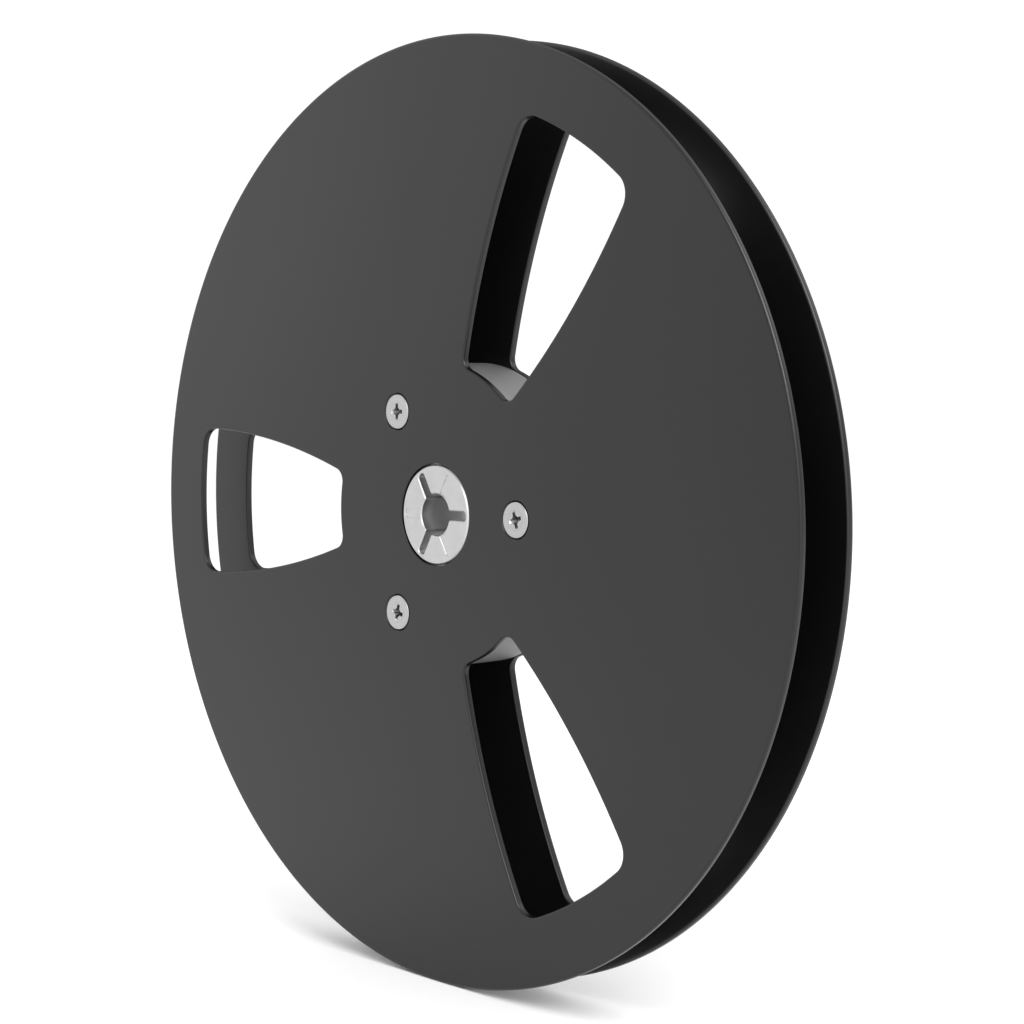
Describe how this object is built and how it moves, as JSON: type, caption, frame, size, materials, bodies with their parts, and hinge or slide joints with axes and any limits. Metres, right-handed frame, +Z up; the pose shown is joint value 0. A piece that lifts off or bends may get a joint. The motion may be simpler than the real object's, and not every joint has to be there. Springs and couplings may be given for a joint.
{
  "type": "open-reel tape reel",
  "caption": "Open-reel tape reel: two black windowed aluminium flanges screwed to a bright hub with a slotted spindle bore.",
  "frame": {"origin": "middle of the hub, on the spindle axis, halfway between the outer faces of the flanges", "axes": "+Y along the spindle axis from the front flange to the rear flange, +Z up with one slot at +X, +X right seen from the front"},
  "size_m": [0.178, 0.0132, 0.178],
  "materials": {
    "black_anodised": "black anodised over fine brushing, satin",
    "turned_aluminium": "turned and clear anodised, satin",
    "plated_screw": "bright plated steel"
  },
  "bodies": {
    "root": {"front_flange": "black_anodised", "rear_flange": "black_anodised", "hub": "turned_aluminium", "front_screw_1": "plated_screw", "front_screw_2": "plated_screw", "front_screw_3": "plated_screw", "rear_screw_1": "plated_screw", "rear_screw_2": "plated_screw", "rear_screw_3": "plated_screw"}
  },
  "joints": []
}
